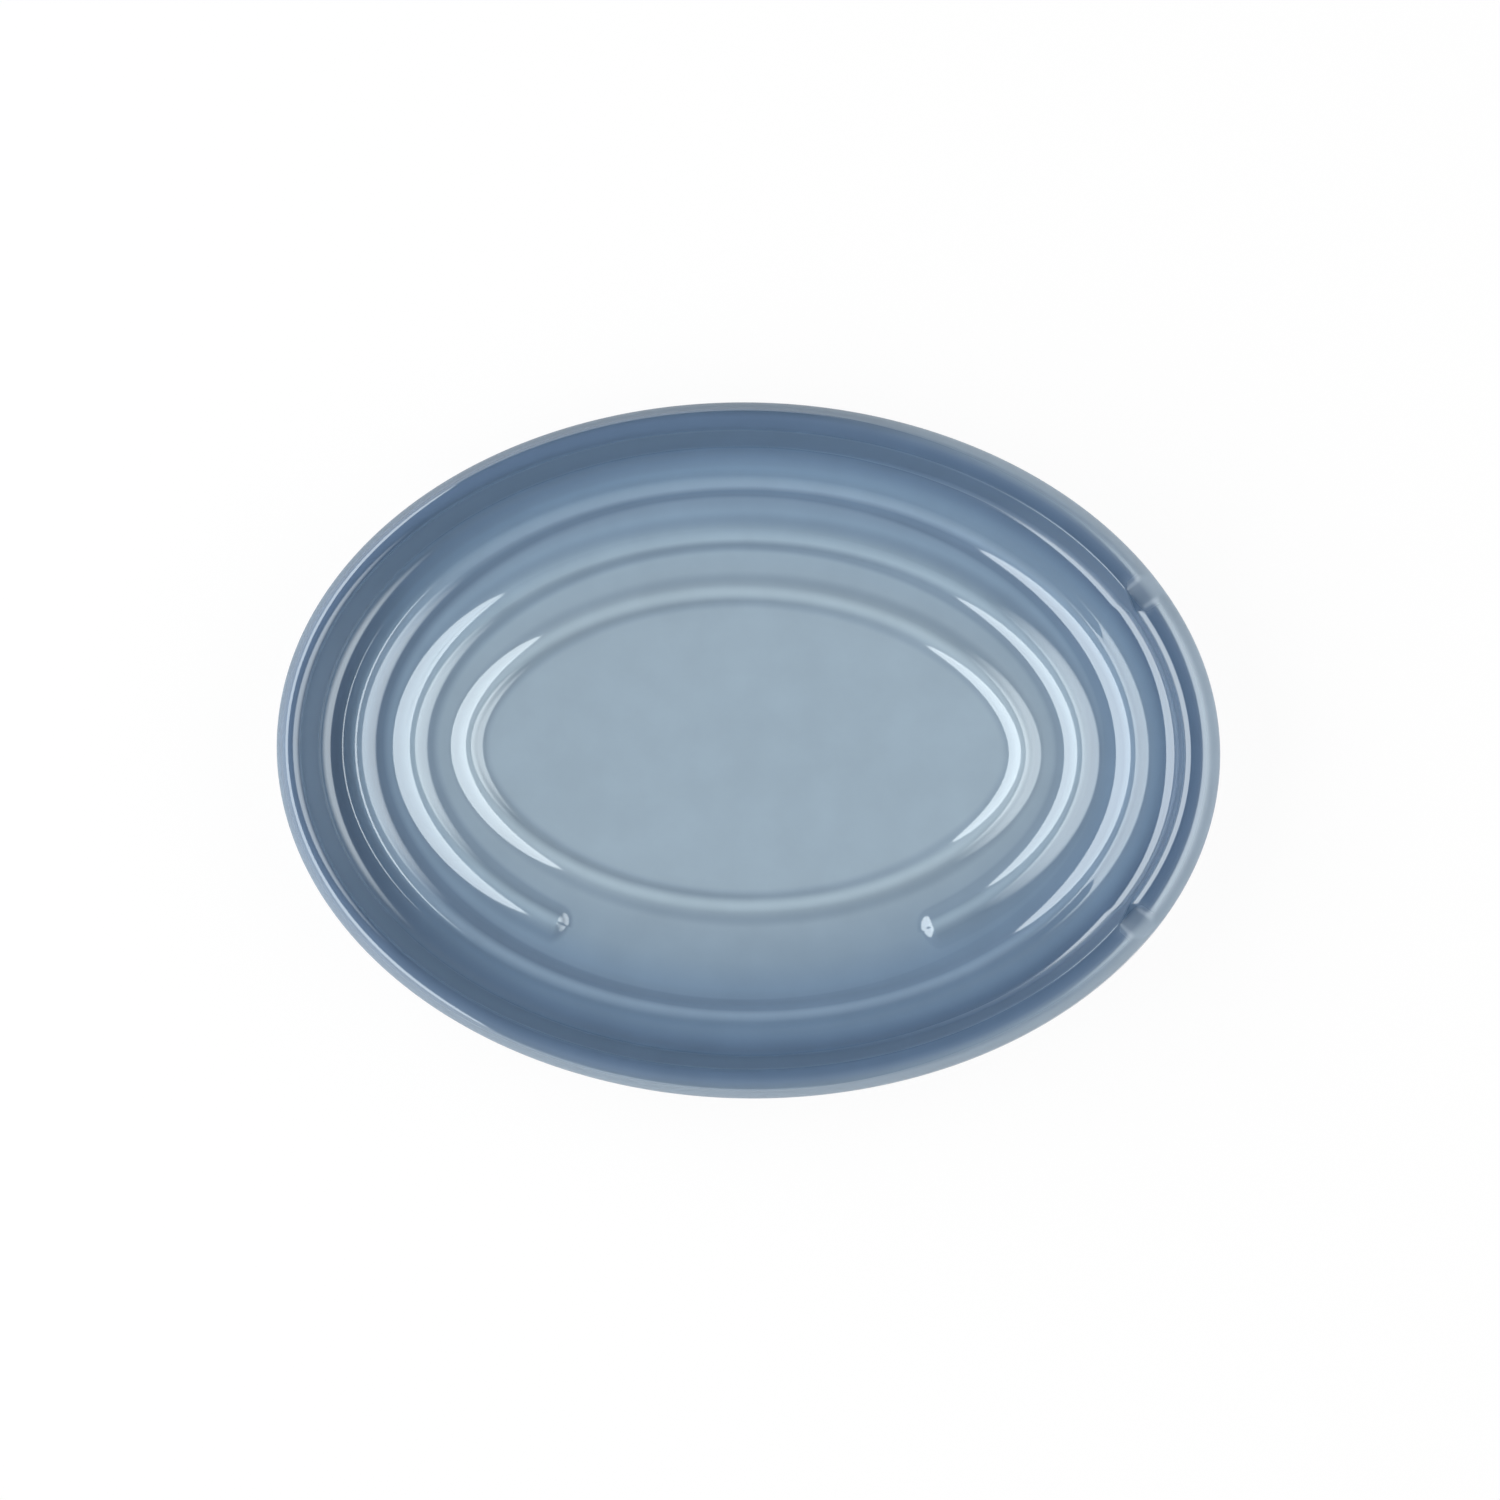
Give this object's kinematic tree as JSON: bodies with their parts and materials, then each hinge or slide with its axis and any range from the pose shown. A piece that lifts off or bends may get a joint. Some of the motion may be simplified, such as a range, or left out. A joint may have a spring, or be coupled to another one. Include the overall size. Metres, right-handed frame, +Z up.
{
  "type": "spoon rest",
  "caption": "Oval glazed stoneware spoon rest with raised concentric rings, a rounded rim and a lowered dip at one end for the spoon's handle.",
  "frame": {"origin": "on the table, under the middle of the oval", "axes": "+X along the oval towards the handle dip, +Y across it away from the gap in the middle ring, +Z up"},
  "size_m": [0.152, 0.112, 0.021],
  "materials": {
    "bare_stoneware": "matt fired clay",
    "blue_glaze": "glossy grey-blue glaze, paler towards the middle of the dish"
  },
  "bodies": {
    "root": {"stoneware_body": "bare_stoneware", "glaze_coat": "blue_glaze", "base_glaze": "blue_glaze"}
  },
  "joints": []
}
